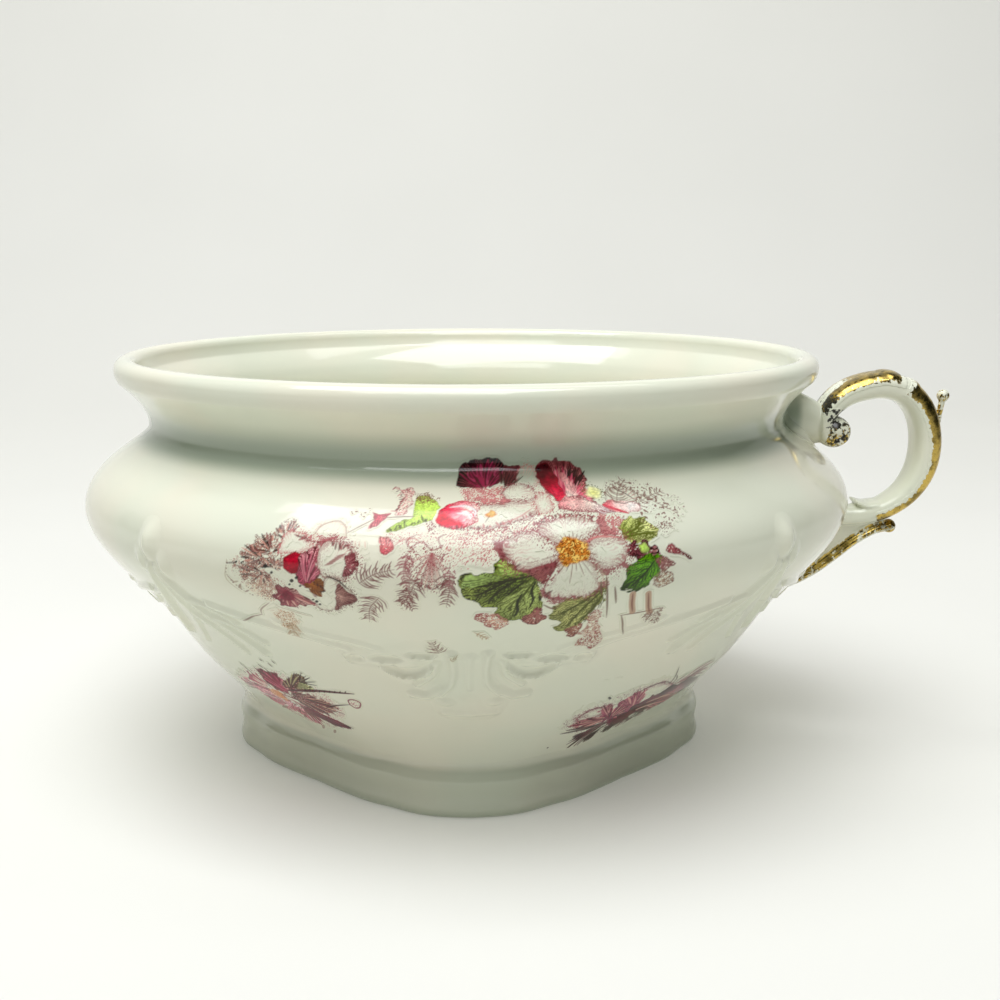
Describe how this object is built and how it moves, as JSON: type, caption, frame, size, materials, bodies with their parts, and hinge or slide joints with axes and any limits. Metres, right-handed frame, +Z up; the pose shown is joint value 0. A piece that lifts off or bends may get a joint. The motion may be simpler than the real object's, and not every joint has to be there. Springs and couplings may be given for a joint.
{
  "type": "chamber pot",
  "caption": "Round white pottery bowl on a lobed foot, with a rolled rim, one scroll handle, moulded relief, printed flower sprays and worn gilding; it stands on the floor and is lifted by the handle.",
  "frame": {"origin": "on the table, under the centre of the bowl", "axes": "+Z up along the axis of the bowl, +X towards the handle, -Y towards the front, where the large flower spray is"},
  "size_m": [0.2852, 0.2492, 0.1317],
  "materials": {
    "glazed_body": "glossy",
    "worn_gold": "worn gloss",
    "flower_print": "glossy"
  },
  "bodies": {
    "root": {"pot_body": "glazed_body", "foot_ring": "glazed_body", "handle": "glazed_body", "upper_slip_joint": "glazed_body", "lower_slip_joint": "glazed_body", "palmette_reliefs": "glazed_body", "scroll_reliefs": "glazed_body", "pendant_reliefs": "glazed_body", "arch_gilding": "worn_gold", "spine_gilding": "worn_gold", "tail_gilding": "worn_gold", "front_spray_print": "flower_print", "front_sprig_prints": "flower_print", "back_spray_print": "flower_print", "back_sprig_prints": "flower_print"}
  },
  "joints": []
}
